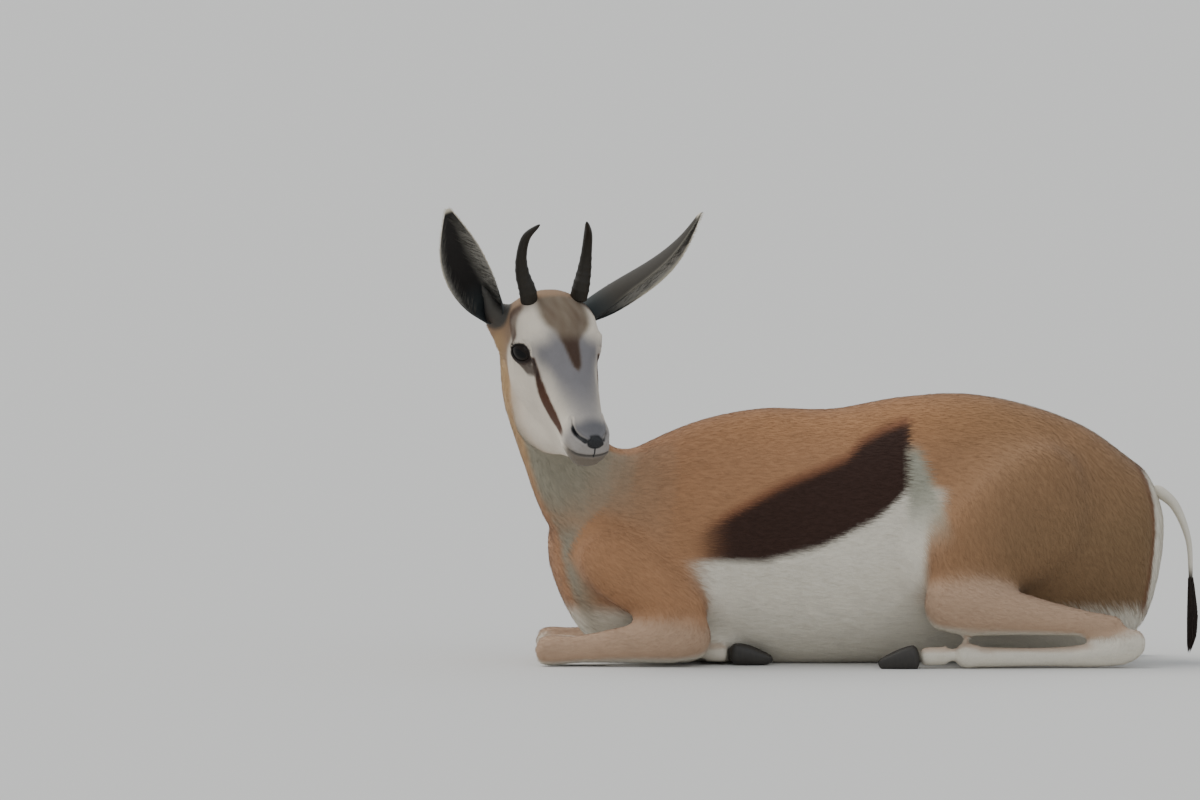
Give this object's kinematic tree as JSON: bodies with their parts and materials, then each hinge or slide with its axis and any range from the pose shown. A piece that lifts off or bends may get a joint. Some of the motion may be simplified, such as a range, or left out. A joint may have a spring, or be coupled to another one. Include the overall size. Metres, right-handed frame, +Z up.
{
  "type": "springbok",
  "caption": "Life-size museum model of a young springbok ewe lying with legs folded and head raised, looking back over the left side; for display and scene dressing.",
  "frame": {"origin": "on the floor under the withers, at the middle of the resting belly", "axes": "+X towards the rump along the lying body, -Y the animal's left side, which the head looks over, +Z up"},
  "size_m": [0.8478, 0.3544, 0.5139],
  "materials": {
    "coat_tan": "short smooth fur, tan",
    "coat_white": "short smooth fur, white",
    "ear_fur": "fine short grey fur",
    "horn": "dark horn sheath, satin",
    "eye": "wet dark brown",
    "nose": "bare dark skin, slightly damp",
    "hoof": "dark horn, satin",
    "tail_tuft": "long dark brown hair"
  },
  "bodies": {
    "root": {"head": "coat_white", "nose_pad": "nose", "horn_right": "horn", "horn_left": "horn", "ear_right": "ear_fur", "ear_left": "ear_fur", "eye_right": "eye", "eye_left": "eye", "fore_claw_inner_left": "hoof", "fore_claw_outer_left": "hoof", "fore_pastern_left": "coat_white", "fore_cannon_left": "coat_white", "forearm_left": "coat_tan", "upper_arm_left": "coat_tan", "hind_claw_inner_left": "hoof", "hind_claw_outer_left": "hoof", "hind_pastern_left": "coat_white", "hind_cannon_left": "coat_white", "shank_left": "coat_tan", "thigh_left": "coat_tan", "fore_claw_inner_right": "hoof", "fore_claw_outer_right": "hoof", "fore_pastern_right": "coat_white", "fore_cannon_right": "coat_white", "forearm_right": "coat_tan", "upper_arm_right": "coat_tan", "hind_claw_inner_right": "hoof", "hind_claw_outer_right": "hoof", "hind_pastern_right": "coat_white", "hind_cannon_right": "coat_white", "shank_right": "coat_tan", "thigh_right": "coat_tan", "torso": "coat_tan", "neck": "coat_tan", "tail": "coat_white", "tail_lock_1": "tail_tuft", "tail_lock_2": "tail_tuft", "tail_lock_3": "tail_tuft"}
  },
  "joints": []
}
